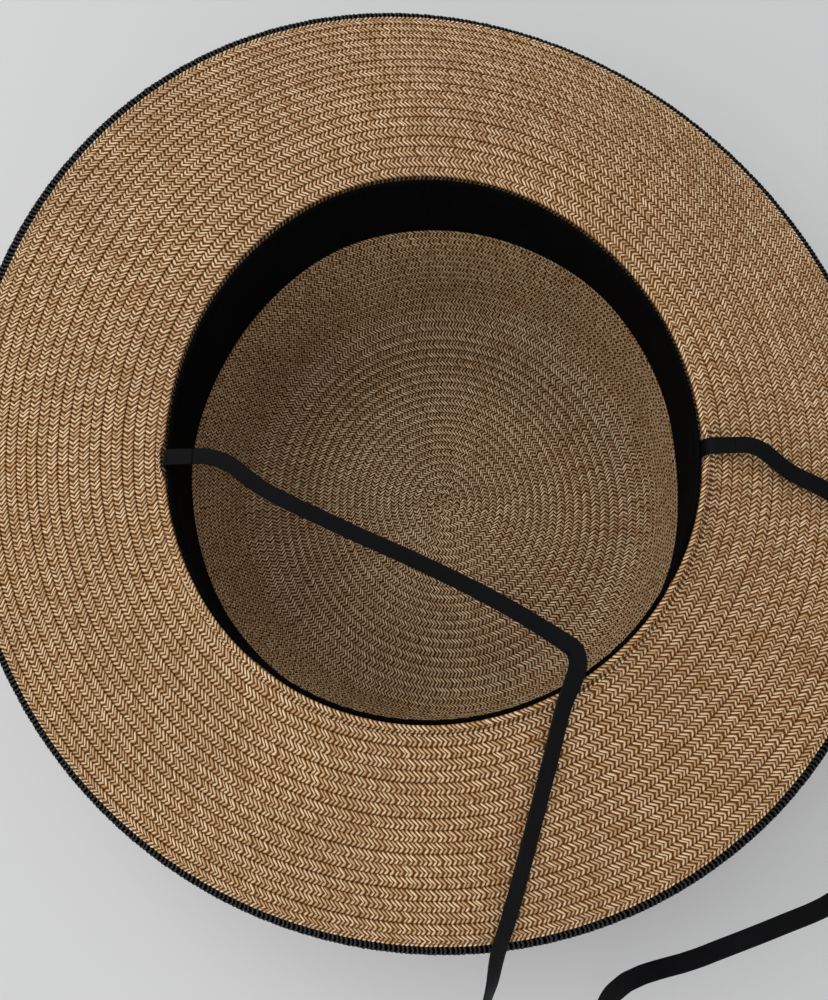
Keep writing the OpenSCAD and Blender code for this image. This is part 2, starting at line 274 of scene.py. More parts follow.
class Pile:
    """Vertices, quads and weave coordinates of a piece that is still being put together."""

    def __init__(self):
        self.points, self.quads, self.weave, self.total = [], [], [], 0

    def add(self, grid, u, v, closed):
        """Adds a tube: grid is (columns, section, 3); closed joins its last column to its first."""
        columns, size = grid.shape[:2]
        i = np.arange(columns if closed else columns - 1)[:, None]
        k = np.arange(size)[None, :]
        j, m = (i + 1) % columns, (k + 1) % size
        corners = [(i, k), (i, m), (j, m), (j, k)]
        quads = np.stack([np.broadcast_to(a * size + b, (len(i), size)) for a, b in corners], -1)
        self.quads.append(quads.reshape(-1, 4) + self.total)
        u_next = np.append(u[1:], 2 * u[-1] - u[-2])[: len(i)]
        u_here = u[: len(i)]
        shape = (len(i), size)
        u_corners = [u_here, u_here, u_next, u_next]
        v_corners = [v, np.roll(v, -1), np.roll(v, -1), v]
        pairs = [
            np.stack([np.broadcast_to(a[:, None], shape), np.broadcast_to(b[None, :], shape)], -1)
            for a, b in zip(u_corners, v_corners)
        ]
        self.weave.append(np.stack(pairs, 2).reshape(-1, 2))
        self.points.append(grid.reshape(-1, 3))
        if not closed:
            self.cap(np.arange(size), u[0])
            self.cap((columns - 1) * size + np.arange(size)[::-1], u[-1])
        self.total += columns * size

    def cap(self, ring, u):
        """Closes the end of a tube with quads across its ring of vertices."""
        ring = ring + self.total
        size = len(ring)
        for k in range(size // 2 - 1):
            quad = [ring[k], ring[size - 1 - k], ring[size - 2 - k], ring[k + 1]]
            self.quads.append(np.array([quad]))
            self.weave.append(np.full((4, 2), [u, CAP_WEAVE]))

    def object(self, name, material):
        """Makes the Blender object."""
        points = np.concatenate(self.points) * MM
        quads = np.concatenate(self.quads)
        mesh = bpy.data.meshes.new(name)
        mesh.vertices.add(len(points))
        mesh.vertices.foreach_set("co", points.astype(np.float32).ravel())
        mesh.loops.add(quads.size)
        mesh.loops.foreach_set("vertex_index", quads.astype(np.int32).ravel())
        mesh.polygons.add(len(quads))
        mesh.polygons.foreach_set("loop_start", np.arange(0, quads.size, 4, dtype=np.int32))
        mesh.update(calc_edges=True)
        mesh.shade_smooth()
        layer = mesh.uv_layers.new(name="weave")
        layer.uv.foreach_set("vector", np.concatenate(self.weave).astype(np.float32).ravel())
        mesh.materials.append(material)
        thing = bpy.data.objects.new(name, mesh)
        bpy.context.scene.collection.objects.link(thing)
        return thing


# ---- Braid --------------------------------------------------------------

# Section of a braid row: share of the pitch, height, relief of the strands, slant (mm), weave v
ROW_SECTION = np.array([
    [0.00, -0.50, 0.0, 0.0, 0.00],
    [0.04, 0.00, 0.6, 0.1, 0.04],
    [0.20, 0.14, 1.0, 0.7, 0.20],
    [0.42, 0.08, 1.0, 1.5, 0.42],
    [0.54, 0.00, 0.85, 1.9, 0.54],
    [0.66, 0.00, 1.0, 1.6, 0.66],
    [0.86, -0.14, 1.0, 1.2, 0.86],
    [1.00, -0.50, 0.6, 0.9, 1.00],
    [1.38, -0.88, 0.0, 0.3, 1.02],
    [1.42, -1.40, 0.5, 0.2, 0.04],
    [1.20, -1.68, -1.0, 0.8, 0.22],
    [0.92, -1.55, -0.7, 1.8, 0.54],
    [0.62, -1.35, -1.0, 1.2, 0.80],
    [0.36, -1.00, -0.5, 0.5, 1.00],
])
RELIEF = 0.36               # depth of the groove between two strands
HEIGHT_JITTER = 0.05
PITCH_JITTER = 0.10         # share of the strand pitch
MOST_JITTER = 0.2

strand_total = 0


def braid(pile, sheet, turn, inner, outer, closed, section=ROW_SECTION):
    """Adds a braid row between its inner and outer edges, given as shares of the sheet."""
    global strand_total
    columns = len(turn)
    strand = np.arange(columns) // COLUMNS
    groove = (np.arange(columns) % COLUMNS == 0).astype(float)
    strands = strand[-1] + 1
    lift = random.normal(0, HEIGHT_JITTER, (strands, 2))[strand]
    depth = random.uniform(0.6, 1.3, strands)[strand] * RELIEF
    spacing = np.gradient(turn) * COLUMNS
    shifts = np.clip(random.normal(0, PITCH_JITTER, strands), -MOST_JITTER, MOST_JITTER)
    nudge = shifts[strand] * spacing
    share, height, relief, slant, v = section.T
    turn_per_mm = np.maximum(spacing / STRAND_PITCH, 1e-6)
    around = turn[:, None] + nudge[:, None] + slant[None, :] * turn_per_mm[:, None]
    start = inner(around)
    away = start + share[None, :] * (outer(around) - start)
    front = (relief > 0)[None, :]
    rise = height[None, :] - relief[None, :] * (groove * depth)[:, None]
    rise = rise + np.abs(relief)[None, :] * np.where(front, lift[:, :1], lift[:, 1:])
    grid = sheet.at(around, away, rise)
    u = strand_total + np.arange(columns) / COLUMNS
    pile.add(grid, u, v, closed)
    strand_total += strands


def ring_turns(girth):
    """Column angles of a closed row."""
    columns = round(girth / STRAND_PITCH) * COLUMNS
    return np.arange(columns) * FULL_TURN / columns


# ---- Materials ----------------------------------------------------------


class Shader:
    """Short calls that build a node material."""

    def __init__(self, name):
        self.material = bpy.data.materials.new(name)
        self.material.use_nodes = True
        self.tree = self.material.node_tree
        self.surface = self.tree.nodes["Principled BSDF"]

    def link(self, value, socket):
        """Joins a node's output to a socket, or sets the socket to a plain value."""
        if isinstance(value, bpy.types.NodeSocket):
            self.tree.links.new(value, socket)
        elif value is not None:
            socket.default_value = value

    def node(self, kind, *values, **settings):
        """A node with its settings, and its first inputs filled in order."""
        made = self.tree.nodes.new(kind)
        for key, value in settings.items():
            setattr(made, key, value)
        for value, socket in zip(values, made.inputs):
            self.link(value, socket)
        return made

    def math(self, operation, a, b=None):
        """Sum, product or other operation on one or two values."""
        return self.node("ShaderNodeMath", a, b, operation=operation).outputs[0]

    def fade(self, value, start, end, low=0.0, high=1.0):
        """Smooth step from low to high while the value goes from start to end."""
        made = self.node("ShaderNodeMapRange", value, start, end, low, high)
        made.interpolation_type = "SMOOTHSTEP"
        return made.outputs[0]

    def mix(self, factor, a, b, blend="MIX"):
        """Mix of two colours."""
        made = self.tree.nodes.new("ShaderNodeMix")
        made.data_type = "RGBA"
        made.blend_type = blend
        self.link(factor, made.inputs["Factor"])
        self.link(a, made.inputs["A"])
        self.link(b, made.inputs["B"])
        return made.outputs["Result"]

    def noise(self, vector, scale, detail=2.0, roughness=0.5):
        """Smooth noise from 0 to 1."""
        made = self.tree.nodes.new("ShaderNodeTexNoise")
        self.link(vector, made.inputs["Vector"])
        made.inputs["Scale"].default_value = scale
        made.inputs["Detail"].default_value = detail
        made.inputs["Roughness"].default_value = roughness
        return made.outputs["Fac"]

    def place(self):
        """Position in the object, in metres."""
        return self.node("ShaderNodeTexCoord").outputs["Object"]

    def weave(self):
        """Weave coordinates: strand number along the row, and share across it."""
        layer = self.node("ShaderNodeUVMap", uv_map="weave").outputs["UV"]
        split = self.node("ShaderNodeSeparateXYZ", layer)
        return split.outputs[0], split.outputs[1]

    def vector(self, x, y, z=0.0):
        """Three values as one vector."""
        return self.node("ShaderNodeCombineXYZ", x, y, z).outputs[0]

    def bump(self, height, distance, strength):
        """Fine relief of the surface."""
        made = self.tree.nodes.new("ShaderNodeBump")
        self.link(height, made.inputs["Height"])
        made.inputs["Distance"].default_value = distance
        made.inputs["Strength"].default_value = strength
        self.link(made.outputs["Normal"], self.surface.inputs["Normal"])

    def finish(self, colour, roughness, specular=0.5, sheen=0.0, sheen_tint=(1, 1, 1, 1)):
        """Sets the surface and returns the material."""
        self.link(colour, self.surface.inputs["Base Color"])
        self.link(roughness, self.surface.inputs["Roughness"])
        self.link(specular, self.surface.inputs["Specular IOR Level"])
        self.link(sheen, self.surface.inputs["Sheen Weight"])
        self.link(sheen_tint, self.surface.inputs["Sheen Tint"])
        return self.material


SPINE = 0.54                # weave coordinate of the fold between a row's two halves


def braid_material(name, light, dark, gap_shade, closing, shade, patch, roughness, specular):
    """Woven paper straw: every strand has its own tone, with painted shade in the gaps and fine
    fibres.

    The gaps between strands widen with closing, and shade sets the painted shade that darkens the
    row's outer half.
    """
    s = Shader(name)
    u, v = s.weave()
    strand = s.math("FLOOR", u)
    across = s.math("FRACT", u)
    outer_half = s.math("GREATER_THAN", v, SPINE)
    seed = s.vector(strand, outer_half, 3.7)
    tone = s.node("ShaderNodeTexWhiteNoise", seed).outputs["Value"]
    fibre_place = s.vector(s.math("MULTIPLY", u, 7.0), s.math("MULTIPLY", v, 2.2), tone)
    fibres = s.noise(fibre_place, 1.0, 3.0, 0.6)
    centred = s.math("ABSOLUTE", s.math("SUBTRACT", s.math("MULTIPLY", across, 2.0), 1.0))
    ridge = s.math("SUBTRACT", 1.0, centred)
    inner_place = s.math("DIVIDE", v, SPINE)
    outer_place = s.math("DIVIDE", s.math("SUBTRACT", v, SPINE), 1.0 - SPINE)
    along = s.node("ShaderNodeMix", outer_half, None, inner_place, outer_place).outputs[0]
    grain_and_highlight = s.math("SINE", s.math("MULTIPLY", along, math.pi))
    swell = s.math("ADD", ridge, s.math("MULTIPLY", grain_and_highlight, 0.16))
    open_strand = s.fade(swell, closing, closing + 0.5)
    blend = s.math("ADD", s.math("MULTIPLY", tone, 0.45), s.math("MULTIPLY", fibres, 0.5))
    # painted highlight: the middle of each half of a strand is made lighter
    blend = s.math("ADD", blend, s.math("MULTIPLY", grain_and_highlight, 0.12))
    colour = s.mix(s.fade(blend, 0.15, 1.05), dark, light)
    # painted shade: the row's outer half, and its outer edge where it tucks under the next row, are
    # darkened; patches are random tone
    half_shade = s.math("SUBTRACT", 1.0, s.math("MULTIPLY", outer_half, shade))
    edge_shade = s.fade(v, 0.86, 1.0, 1.0, 0.75)
    patches = s.fade(s.noise(s.place(), 26.0, 3.0), 0.3, 0.7, 1.0 - patch, 1.0 + patch * 0.4)
    shade_and_patches = s.math("MULTIPLY", s.math("MULTIPLY", half_shade, edge_shade), patches)
    colour = s.mix(1.0, colour, s.vector(shade_and_patches, shade_and_patches, shade_and_patches), "MULTIPLY")
    # painted shade: the gaps between strands take a dark colour
    colour = s.mix(open_strand, gap_shade, colour)
    s.bump(s.math("ADD", fibres, s.math("MULTIPLY", ridge, 0.8)), 0.12 * MM, 0.8)
    gloss = s.math("ADD", roughness, s.math("MULTIPLY", s.math("SUBTRACT", fibres, 0.5), 0.3))
    return s.finish(colour, gloss, s.math("MULTIPLY", open_strand, specular))


def cloth_material():
    """Matt black sweatband cloth with a fine diagonal twill."""
    s = Shader("sweatband_cloth")
    u, v = s.weave()
    twill = s.math("SINE", s.math("MULTIPLY", s.math("ADD", u, v), 14.0))
    yarn = s.math("SINE", s.math("MULTIPLY", u, 31.0))
    lint = s.noise(s.place(), 900.0, 2.0)
    worn = s.noise(s.place(), 60.0, 3.0)
    tone = s.fade(s.math("MULTIPLY", s.math("ADD", lint, worn), 0.5), 0.3, 0.7)
    colour = s.mix(tone, (0.0008, 0.0008, 0.0009, 1), (0.0026, 0.0026, 0.0029, 1))
    s.bump(s.math("ADD", twill, s.math("MULTIPLY", yarn, 0.4)), 0.05 * MM, 0.7)
    return s.finish(colour, 0.95, 0.05)


def tape_material():
    """Black tape with fine lengthwise yarns and a faint blue-grey sheen."""
    s = Shader("strap_tape")
    u, v = s.weave()
    ribs = s.math("SINE", s.math("MULTIPLY", u, FULL_TURN))
    yarn = s.math("SINE", s.math("MULTIPLY", v, 90.0))
    wear = s.noise(s.place(), 55.0, 3.0)
    selvage = s.fade(s.math("ABSOLUTE", s.math("SUBTRACT", v, 0.5)), 0.40, 0.48)
    worn = s.fade(wear, 0.35, 0.7)
    lit_yarn = s.math("MULTIPLY", s.fade(yarn, 0.2, 1.0), 0.3)
    lit_edge = s.math("MULTIPLY", selvage, 0.3)
    colour = s.mix(worn, (0.0005, 0.0006, 0.0009, 1), (0.0022, 0.0025, 0.0036, 1))
    colour = s.mix(lit_yarn, colour, (0.007, 0.0078, 0.010, 1))
    colour = s.mix(lit_edge, colour, (0.006, 0.0066, 0.009, 1))
    s.bump(s.math("ADD", yarn, s.math("MULTIPLY", ribs, 0.25)), 0.05 * MM, 0.8)
    return s.finish(colour, s.fade(wear, 0.3, 0.7, 0.36, 0.5), 0.08, 0.006, (0.8, 0.85, 1, 1))


def thread_material(name, light, dark):
    """Twisted sewing thread."""
    s = Shader(name)
    u, v = s.weave()
    ahead, round_it = s.math("MULTIPLY", u, 9.0), s.math("MULTIPLY", v, FULL_TURN)
    twist = s.math("SINE", s.math("ADD", ahead, round_it))
    colour = s.mix(s.fade(twist, -1.0, 1.0), dark, light)
    s.bump(twist, 0.05 * MM, 0.8)
    return s.finish(colour, 0.8, 0.06)


def steel_material():
    """Hidden spring wire, brushed with faint streaks."""
    s = Shader("spring_wire")
    streaks = s.noise(s.place(), 700.0, 4.0)
    colour = s.mix(streaks, (0.30, 0.30, 0.31, 1), (0.46, 0.46, 0.47, 1))
    s.surface.inputs["Metallic"].default_value = 1.0
    s.bump(streaks, 0.02 * MM, 0.5)
    return s.finish(colour, s.fade(streaks, 0.3, 0.7, 0.3, 0.5))


def floor_material():
    """Plain pale tabletop."""
    s = Shader("pale_table")
    mottle = s.noise(s.place(), 3.0, 2.0)
    colour = s.mix(mottle, (0.60, 0.605, 0.61, 1), (0.64, 0.645, 0.65, 1))
    return s.finish(colour, 0.8, 0.2)


STRAW = braid_material(
    "straw_braid",
    light=(1.0, 0.75, 0.475, 1),
    dark=(0.43, 0.225, 0.077, 1),
    gap_shade=(0.125, 0.045, 0.006, 1),
    closing=0.40,
    shade=0.12,
    patch=0.10,
    roughness=0.45,
    specular=0.8,
)
# the crown's copy paints stronger shade than the brim's: darker gaps and a darker outer half of
# each row
CROWN_STRAW = braid_material(
    "straw_braid_crown",
    light=(1.0, 0.80, 0.51, 1),
    dark=(0.47, 0.25, 0.095, 1),
    gap_shade=(0.070, 0.023, 0.003, 1),
    closing=0.38,
    shade=0.34,
    patch=0.12,
    roughness=0.45,
    specular=0.8,
)
BLACK_BRAID = braid_material(
    "black_braid",
    light=(0.016, 0.015, 0.015, 1),
    dark=(0.003, 0.003, 0.003, 1),
    gap_shade=(0.001, 0.001, 0.001, 1),
    closing=0.42,
    shade=0.0,
    patch=0.2,
    roughness=0.38,
    specular=0.35,
)
CLOTH = cloth_material()
TAPE = tape_material()
BLACK_THREAD = thread_material(
    "black_thread", light=(0.003, 0.003, 0.0034, 1), dark=(0.001, 0.001, 0.001, 1),
)
STRAW_THREAD = thread_material(
    "straw_thread", light=(0.34, 0.20, 0.10, 1), dark=(0.15, 0.075, 0.03, 1),
)

# ---- Straw pieces -------------------------------------------------------

LIP = 1.6                   # visible width of the crown's last row at the opening
BRIM_ROWS = 18
GROUP = 3                   # brim rows in one piece
EDGE_ROOM = 0.2             # pitches between the full rows and the natural straw's edge
PHASES = 6                  # different wobbles of the rows
brim_pitch = (NATURAL_WIDTH - LIP) / (BRIM_ROWS + EDGE_ROOM)
wobble_phase = random.uniform(0, FULL_TURN, PHASES)


def wobble(turn, row):
    """Small unevenness of a row's edge, in millimetres."""
    first = np.sin(3 * turn + wobble_phase[row % PHASES] + row)
    second = np.sin(7 * turn + wobble_phase[(row + 2) % PHASES] * 2)
    return 0.10 * first + 0.06 * second


# Same columns: the last row is flat on the black braid, with a sunk seam and a thin edge
LAST_SECTION = np.array([
    [0.00, -0.50, 0.0, 0.0, 0.00],
    [0.04, 0.00, 0.6, 0.1, 0.04],
    [0.17, 0.14, 1.0, 0.7, 0.20],
    [0.34, 0.08, 1.0, 1.5, 0.42],
    [0.44, -0.10, 0.7, 1.9, 0.54],
    [0.54, 0.00, 1.0, 1.6, 0.66],
    [0.66, -0.16, 1.0, 1.2, 0.80],
    # the sunk seam takes weave v 1.0, so the row's painted edge shade darkens the groove
    [0.75, -0.75, 0.4, 1.0, 1.00],
    [0.83, -0.24, 0.8, 0.8, 0.26],
    [0.93, -0.20, 0.8, 0.5, 0.34],
    [1.01, -0.75, 0.3, 0.4, 0.36],
    [1.00, -1.30, 0.3, 0.2, 0.04],
    [0.84, -1.60, -1.0, 0.8, 0.22],
    [0.66, -1.55, -0.7, 1.8, 0.54],
    [0.46, -1.35, -1.0, 1.2, 0.80],
    [0.30, -1.00, -0.5, 0.5, 1.00],
])
LAST_WIDTH = 1.05           # width of the last row in pitches
RIM_SEAM = 0.75             # place of its seam, as a share of that width
HEADLINE_SEAM = 1.35        # distance from the opening to the seam of crown and brim


def brim_row(pile, row):
    """One closed row of the brim."""
    start = LIP + row * brim_pitch
    last = row == BRIM_ROWS - 1
    width = brim_pitch * (LAST_WIDTH if last else 1)

    def inner(turn):
        return brim_share(start + wobble(turn, row))

    def outer(turn):
        return inner(turn) + brim_share(width)

    turn = ring_turns(brim.girth(brim_share(start + width / 2)))
    braid(pile, brim, turn, inner, outer, True, LAST_SECTION if last else ROW_SECTION)


def brim_pieces():
    """The brim in groups of rows."""
    made = []
    for first in range(0, BRIM_ROWS, GROUP):
        pile = Pile()
        for row in range(first, first + GROUP):
            brim_row(pile, row)
        made.append(pile.object(f"brim_rows_{first + 1}_{first + GROUP}", STRAW))
    return made


# Same columns, for the crown's last row
LIP_SECTION = np.array([
    [0.08, -1.30, 0.5, 0.0, 0.10],
    [0.00, -0.75, 1.0, 0.2, 0.12],
    [0.05, -0.20, 1.0, 0.4, 0.18],
    [0.18, 0.12, 1.0, 0.9, 0.30],
    [0.34, 0.18, 1.0, 1.5, 0.42],
    [0.46, 0.05, 0.7, 1.9, 0.54],
    [0.60, 0.12, 1.0, 1.6, 0.66],
    [0.84, -0.05, 1.0, 1.2, 0.80],
    [1.00, -0.30, 0.6, 1.0, 1.00],
    [1.35, -0.80, 0.0, 0.6, 1.00],
    [1.35, -1.30, 0.0, 0.4, 0.30],
    [0.90, -1.60, -0.5, 0.5, 0.30],
    [0.50, -1.70, -0.5, 0.3, 0.30],
    [0.25, -1.60, 0.0, 0.0, 0.30],
])
LIP_OVERHANG = 1.35         # reach of that row over the sweatband's upper edge


def crown_lip():
    """The crown's last row, turned out over the opening's edge, clear of the strap's ends."""

    def inner(turn):
        overhang = LIP_OVERHANG
        for side in (-1, 1):
            distance = anchor_gap(turn, side) / STRAP_WIDTH
            overhang = overhang * (1 - np.exp(-(distance ** 4)))
        return brim_share(-overhang)

    def outer(turn):
        return brim_share(LIP + 0 * turn)

    pile = Pile()
    braid(pile, brim, ring_turns(brim.girth(0)), inner, outer, True, LIP_SECTION)
    return pile.object("crown_lip", STRAW)


TIP_START = 0.25            # turns left out at the very centre
TIP_ROWS = 9                # rows of the tip's pitch
GROWING_ROWS = 13           # rows over which the pitch grows to the side's
MOST_ROWS = 80              # more rows than the crown needs
SMALLEST_RADIUS = 2.2       # radius that strands are counted with at the very centre
PIECE_STRANDS = 2100        # most strands in one piece of the crown's braid


def running_total(values, places):
    """Area under values from the first place to each place."""
    slices = (values[1:] + values[:-1]) / 2 * np.diff(places)
    return np.concatenate([[0], np.cumsum(slices)])


row_count = np.arange(0, MOST_ROWS, 0.25)
growth = np.clip((row_count - TIP_ROWS) / GROWING_ROWS, 0, 1)
row_pitch = TIP_PITCH + (SIDE_PITCH - TIP_PITCH) * growth ** 2 * (3 - 2 * growth)
row_travel = running_total(row_pitch, row_count)
CROWN_ROWS = round(float(np.interp(crown.length, row_travel, row_count)))
row_shares = row_travel / np.interp(CROWN_ROWS, row_count, row_travel)


def crown_spiral():
    """One long braid that winds from the tip's centre to the opening, cut into pieces."""
    coarse = np.linspace(TIP_START * FULL_TURN, CROWN_ROWS * FULL_TURN, 6000)

    def outer(turn):
        return np.interp(turn / FULL_TURN, row_count, row_shares)

    def inner(turn):
        return outer(turn - FULL_TURN)

    middle = (inner(coarse) + outer(coarse)) / 2
    here = crown.at(coarse, middle, 0)
    centre = np.array([TIP_LEAN, 0])
    radius = np.maximum(np.linalg.norm(here[:, :2] - centre, axis=1), SMALLEST_RADIUS)
    travel = running_total(radius, coarse)
    columns = int(travel[-1] / STRAND_PITCH) * COLUMNS
    turn = np.interp(np.linspace(0, travel[-1], columns), travel, coarse)
    count = math.ceil(columns / (PIECE_STRANDS * COLUMNS))
    pieces = []
    for part in range(count):
        first = part * columns // count // COLUMNS * COLUMNS
        last = min((part + 1) * columns // count // COLUMNS * COLUMNS, columns)
        pile = Pile()
        braid(pile, crown, turn[first:last], inner, outer, False)
        pieces.append(pile.object(f"crown_braid_{part + 1}", CROWN_STRAW))
    return pieces


# Same columns, for the black braid
RIM_SECTION = np.array([
    [0.00, -1.75, 0.0, 0.0, 0.00],
    [0.30, -1.70, 0.3, 0.5, 0.20],
    [0.56, -1.30, 0.8, 1.2, 0.42],
    [0.72, -0.95, 1.0, 1.6, 0.54],
    [0.83, -0.85, 1.0, 1.3, 0.66],
    [0.94, -1.05, 1.0, 1.0, 0.80],
    [1.00, -1.70, 0.6, 0.8, 0.90],
    [0.97, -2.35, 0.5, 0.3, 0.04],
    [0.80, -2.65, -1.0, 0.9, 0.22],
    [0.52, -2.60, -0.7, 1.8, 0.54],
    [0.25, -2.60, -1.0, 1.2, 0.80],
    [0.03, -2.35, -0.5, 0.5, 0.90],
])


def rim_braid():
    """Black braid under and beyond the last natural row."""
    pile = Pile()
    start = NATURAL_WIDTH - RIM_LAP
    width = RIM_LAP + RIM_SHOW
    turn = ring_turns(brim.girth(brim_share(NATURAL_WIDTH)))

    def inner(turn):
        return brim_share(start + 0 * turn)

    def outer(turn):
        return brim_share(start + width + 0 * turn)

    braid(pile, brim, turn, inner, outer, True, RIM_SECTION)
    return pile.object("rim_braid_black", BLACK_BRAID)


# ---- Sweatband ----------------------------------------------------------

FACE = BAND_GAP + BAND_THICKNESS
SEAM_TURN = FULL_TURN / 4   # angle of the band's closing seam
BAND_STITCH_DROP = 4.4      # drop of the line of stitches below the opening
BAND_COLUMNS = 8            # mesh columns per stitch
# Drop below the opening and height off the crown wall
BAND_SECTION = np.array([
    [29.8, 1.00], [30.0, 1.55], [29.4, 2.10], [28.2, 1.85], [27.0, 2.15],
    [24.0, 2.20], [19.0, 2.20], [14.0, 2.20], [9.0, 2.20], [7.0, 2.25],
    [5.4, 2.30], [4.8, 2.15], [4.4, 1.80], [4.0, 2.15], [3.2, 2.40],
    [2.6, 2.45], [2.1, 2.20], [1.9, 1.75], [2.1, 1.30], [2.8, 1.15],
    [5.0, 1.20], [11.0, 1.20], [19.0, 1.20], [26.0, 1.10],
])
BAND_STITCHES = round(crown.girth(1.0) / STITCH_PITCH)


def sweatband():
    """Cloth band with a folded upper edge, puckered along its line of stitches."""
    columns = BAND_STITCHES * BAND_COLUMNS
    turn = np.arange(columns) * FULL_TURN / columns
    drop, height = BAND_SECTION.T
    inside = height > 1.6
    pucker = np.exp(-(((drop - BAND_STITCH_DROP) / 1.8) ** 2)) * inside
    pull = np.cos(turn * BAND_STITCHES)
    ripple = np.sin(5 * turn + 1) * 0.25 + np.sin(11 * turn + 2) * 0.12
    lower = np.clip((drop - 16) / 14, 0, 1) ** 2
    seam_distance = (turn - SEAM_TURN) * HALF_LENGTH
    seam = np.exp(-((seam_distance / 0.7) ** 2))
    rise = height[None, :] + 0.10 * pucker[None, :] * pull[:, None]
    rise = rise + (ripple + 0.3)[:, None] * lower[None, :]
    rise = rise - 0.35 * seam[:, None] * inside[None, :]
    edge = 0.12 * np.sin(turn * 9)[:, None] * (drop < 2.7)[None, :]
    grid = crown.at(turn[:, None], crown_share(drop[None, :] + edge), rise)
    pile = Pile()
    pile.add(grid, turn * HALF_WIDTH, drop, True)
    return pile.object("sweatband_cloth", CLOTH)


# ---- Threads ------------------------------------------------------------

THREAD_RADIUS = 0.2
THREAD_SIDES = 8
STITCH_SHARE = 0.6          # length of a stitch as a share of the stitch pitch
STITCH_STEPS = np.linspace(0, 1, 9)


def thread_stitch(pile, path):
    """One stitch: a round thread with tapered ends along a path of points."""
    count = len(path)
    ahead = np.gradient(path, axis=0)
    ahead /= np.linalg.norm(ahead, axis=1, keepdims=True)
    side = np.cross(ahead, [0.3, 0.2, 0.93])
    side /= np.linalg.norm(side, axis=1, keepdims=True)
    up = np.cross(side, ahead)
    turn = np.arange(THREAD_SIDES) * FULL_TURN / THREAD_SIDES
    taper = np.sin(np.linspace(0.35, math.pi - 0.35, count)) ** 0.5
    ring = side[:, None] * np.cos(turn)[:, None] + up[:, None] * np.sin(turn)[:, None]
    grid = path[:, None] + ring * (THREAD_RADIUS * taper)[:, None, None]
    pile.add(grid, np.linspace(0, 1, count) * 4, turn / FULL_TURN, False)


def stitch_ring(name, sheet, share, height, count, material, skip=None):
    """A line of stitches round a sheet; each one dives in at both ends."""
    dive = height - 0.35 * (2 * STITCH_STEPS - 1) ** 4
    pile = Pile()
    for i in range(count):
        start = i / count * FULL_TURN
        if skip is not None and skip(start):
            continue
        turn = start + STITCH_STEPS * STITCH_SHARE * FULL_TURN / count
        thread_stitch(pile, sheet.at(turn, share, dive))
    return pile.object(name, material)


SEAM_STITCHES = 6
SEAM_TOP, SEAM_BOTTOM = 6.4, 27.6   # drops of the closing seam's ends below the opening
SEAM_LEAN = 0.8             # sideways lean of its stitches


def seam_threads():
    """Upright stitches that close the sweatband."""
    pile = Pile()
    step = (SEAM_BOTTOM - SEAM_TOP) / SEAM_STITCHES
    t = STITCH_STEPS
    lean = SEAM_TURN + (t - 0.5) * SEAM_LEAN / HALF_LENGTH
    height = FACE + 0.12 - 0.3 * (2 * t - 1) ** 4
    for i in range(SEAM_STITCHES):
        drop = SEAM_TOP + (i + STITCH_SHARE * t) * step
        thread_stitch(pile, crown.at(lean, crown_share(drop), height))
    return pile.object("sweatband_seam_thread", BLACK_THREAD)


TACK_ROWS = 5
TACK_TOP = 6.0              # drop of a bar tack's first row below the opening


def anchor_turn(side):
    """Angle of the strap's anchor: side is -1 on the left and 1 on the right."""
    turn = math.asin(PIVOT[1] / HALF_LENGTH)
    return turn if side > 0 else math.pi - turn


def anchor_gap(turn, side):
    """Signed distance along the opening's edge from the strap's anchor, in millimetres."""
    return ((turn - anchor_turn(side) + math.pi) % FULL_TURN - math.pi) * HALF_WIDTH


def tack(name, side):
    """Bar tack: a tight zigzag across the strap's end."""
    pile = Pile()
    reach = STRAP_WIDTH / 2 / HALF_WIDTH
    step = STRAP_WIDTH / TACK_ROWS
    t = np.linspace(0, 1, 13)
    turn = anchor_turn(side) + (2 * t - 1) * reach
    height = FACE + 0.14 - 0.35 * (2 * t - 1) ** 6
    for i in range(TACK_ROWS):
        drop = TACK_TOP + (i + 0.35 * t) * step
        thread_stitch(pile, crown.at(turn, crown_share(drop), height))
    return pile.object(name, BLACK_THREAD)


# ---- Strap --------------------------------------------------------------

RIB_PITCH = 0.8             # distance between the fine ribs across the tape
RIB_DEPTH = 0.03            # share of the thickness
TAPE_RIDGES = 7             # lengthwise ridges on each face


def tape_section():
    """Width and thickness shares round the tape: lengthwise ridges between two selvages."""
    across = np.linspace(-0.44, 0.44, 2 * TAPE_RIDGES + 1)
    ridge = 0.45 + 0.04 * (-1.0) ** np.arange(len(across))
    edge = np.array([[0.485, 0.36], [0.5, 0.0], [0.485, -0.36]])
    upper = np.column_stack([across, ridge])
    lower = np.column_stack([across[::-1], -ridge])
    return np.concatenate([upper, edge, lower, -edge])


def cad_tape_sections():
    """Middle and across-vector of each CAD strap section, from the left end to the right."""
    mesh = frame["nodes"]["chin_strap"].data
    raw = np.array([v.co for v in mesh.vertices]) / MM
    keys, index = np.unique(np.round(raw, 3), axis=0, return_inverse=True)
    index = index.reshape(-1)
    near = {i: set() for i in range(len(keys))}
    for polygon in mesh.polygons:
        corners = [int(index[v]) for v in polygon.vertices]
        for a in corners:
            near[a].update(corners)
    start = PIVOT + [box_mm("strap_end_left")[1][0], 0, 0]
    half_width, half_depth = STRAP_WIDTH / 2, STRAP_THICKNESS / 2
    halves = [(y, z) for y in (-half_width, half_width) for z in (-half_depth, half_depth)]
    ring = [int(np.argmin(np.linalg.norm(keys - start - [0, *half], axis=1))) for half in halves]
    done = set(ring)
    sections = [ring]
    while True:
        following = set().union(*(near[a] for a in ring)) - done
        if len(following) != 4:
            break
        ring = list(following)
        done |= following
        sections.append(ring)
    middles, across = [], []
    for ring in sections:
        corners = keys[ring]
        middle = corners.mean(axis=0)
        spread = np.linalg.svd(corners - middle)[2][0]
        if across and spread @ across[-1] < 0:
            spread = -spread
        if not across and spread[1] < 0:
            spread = -spread
        middles.append(middle)
        across.append(spread)
    return np.array(middles), np.array(across)


